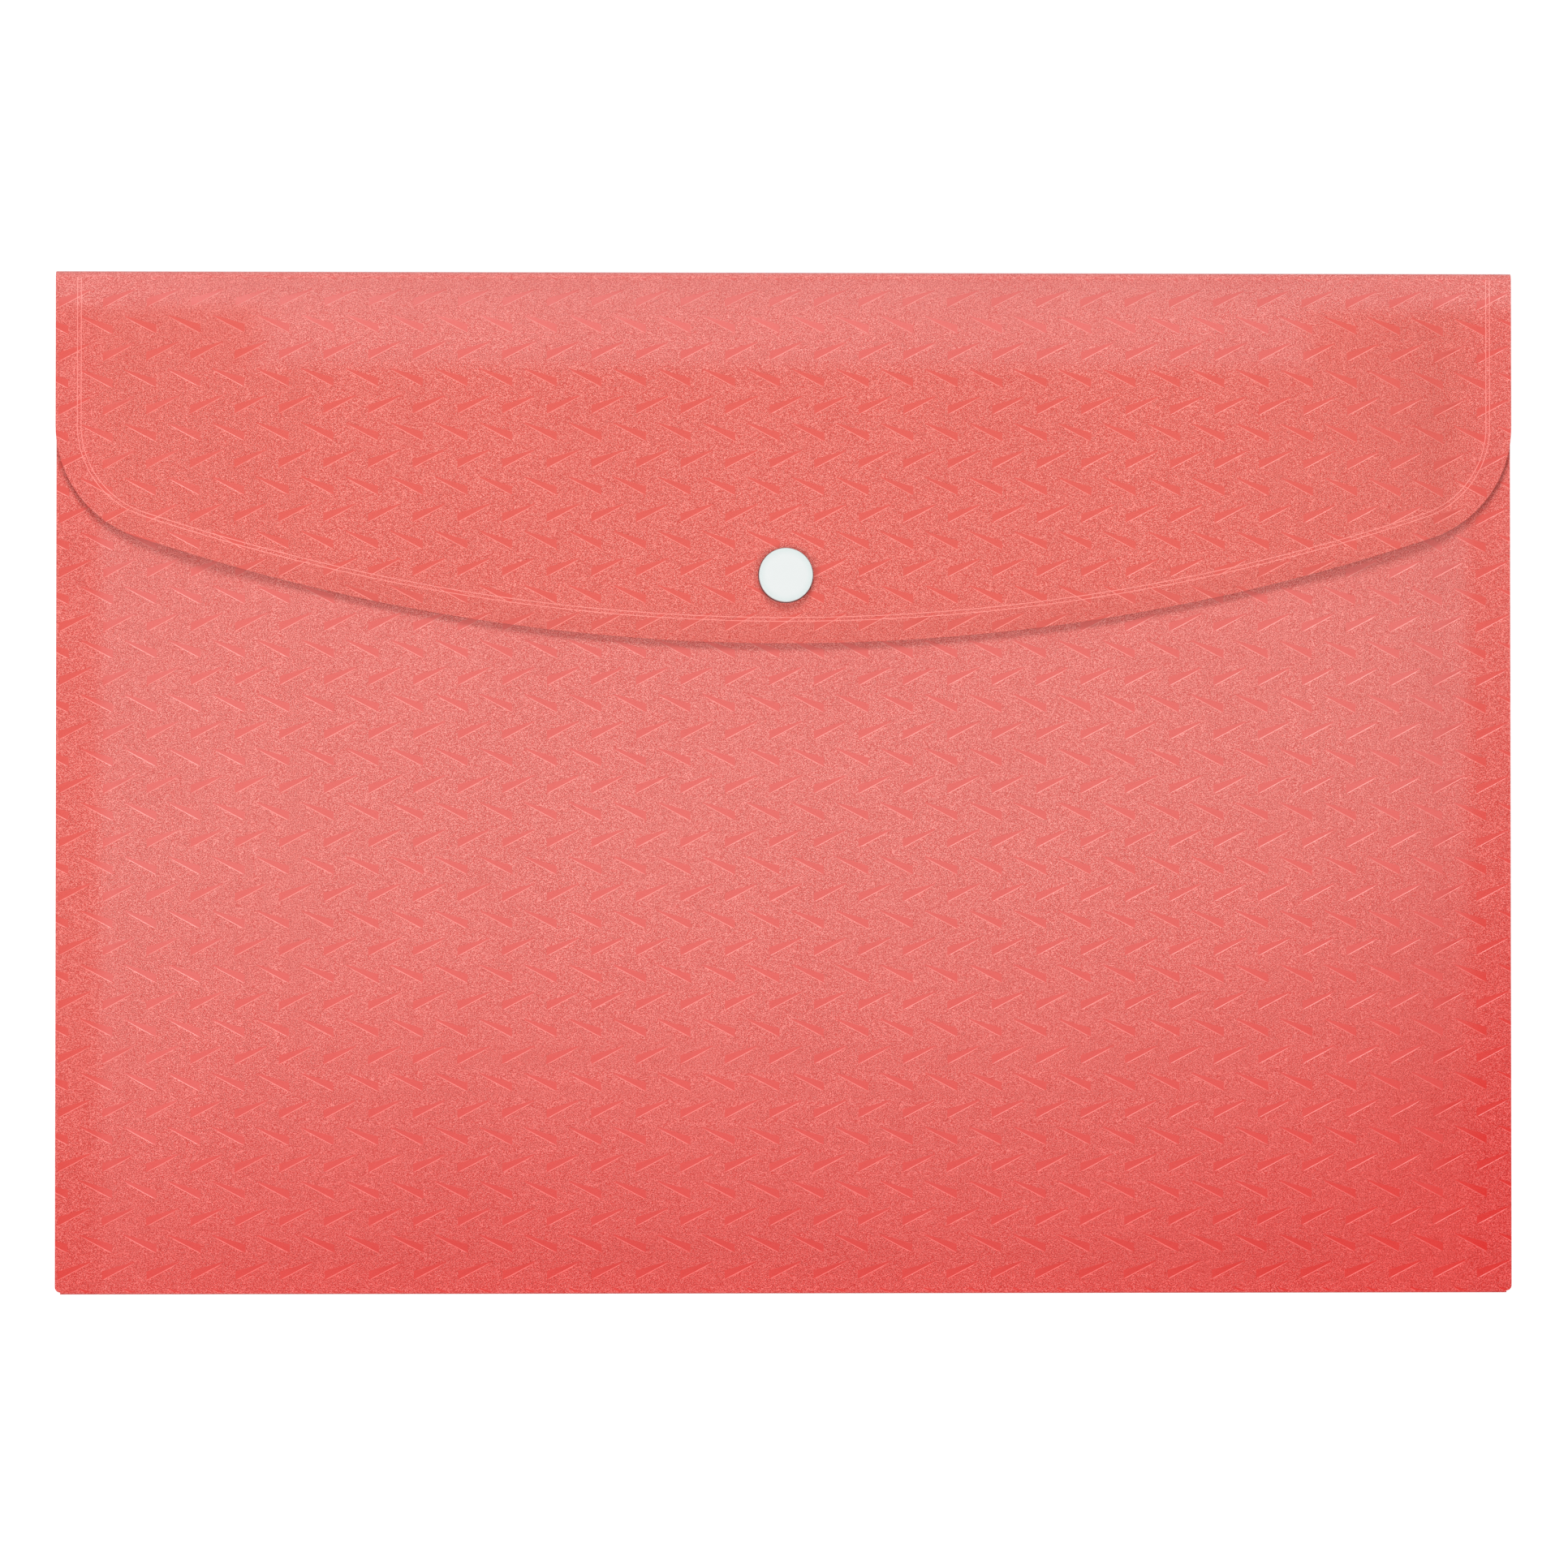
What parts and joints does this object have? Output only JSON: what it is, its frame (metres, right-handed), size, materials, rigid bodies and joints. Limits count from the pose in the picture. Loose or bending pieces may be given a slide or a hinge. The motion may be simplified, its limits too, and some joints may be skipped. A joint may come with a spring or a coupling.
{
  "type": "document wallet",
  "caption": "Landscape document wallet folded from one plastic sheet, with side tabs bonded to the front, a thumb recess and a curved flap that closes with a press stud.",
  "frame": {"origin": "middle of the back panel's outer face, on the surface that the wallet lies on", "axes": "+X across the wallet, +Y towards the fold that carries the flap, +Z out of the front, towards the flap"},
  "size_m": [0.335, 0.235, 0.0113],
  "materials": {
    "sheet": "grained, slightly translucent",
    "bond": "clear bond",
    "snap": "satin gloss"
  },
  "bodies": {
    "pocket": {"back_panel": "sheet", "left_tab": "sheet", "right_tab": "sheet", "left_bond_strip": "bond", "right_bond_strip": "bond", "bottom_fold": "sheet", "front_panel": "sheet", "top_fold": "sheet", "snap_stud": "snap", "snap_stud_cap": "snap"},
    "flap": {"flap": "sheet", "snap_cap": "snap", "snap_socket": "snap"}
  },
  "joints": [
    {"name": "flap_hinge", "type": "hinge", "parent": "pocket", "child": "flap", "pos_m": [0, 0.116, 0.0015], "axis": [-1, 0, 0], "range_deg": [0, 148], "deforming": ["top_fold"]}
  ]
}
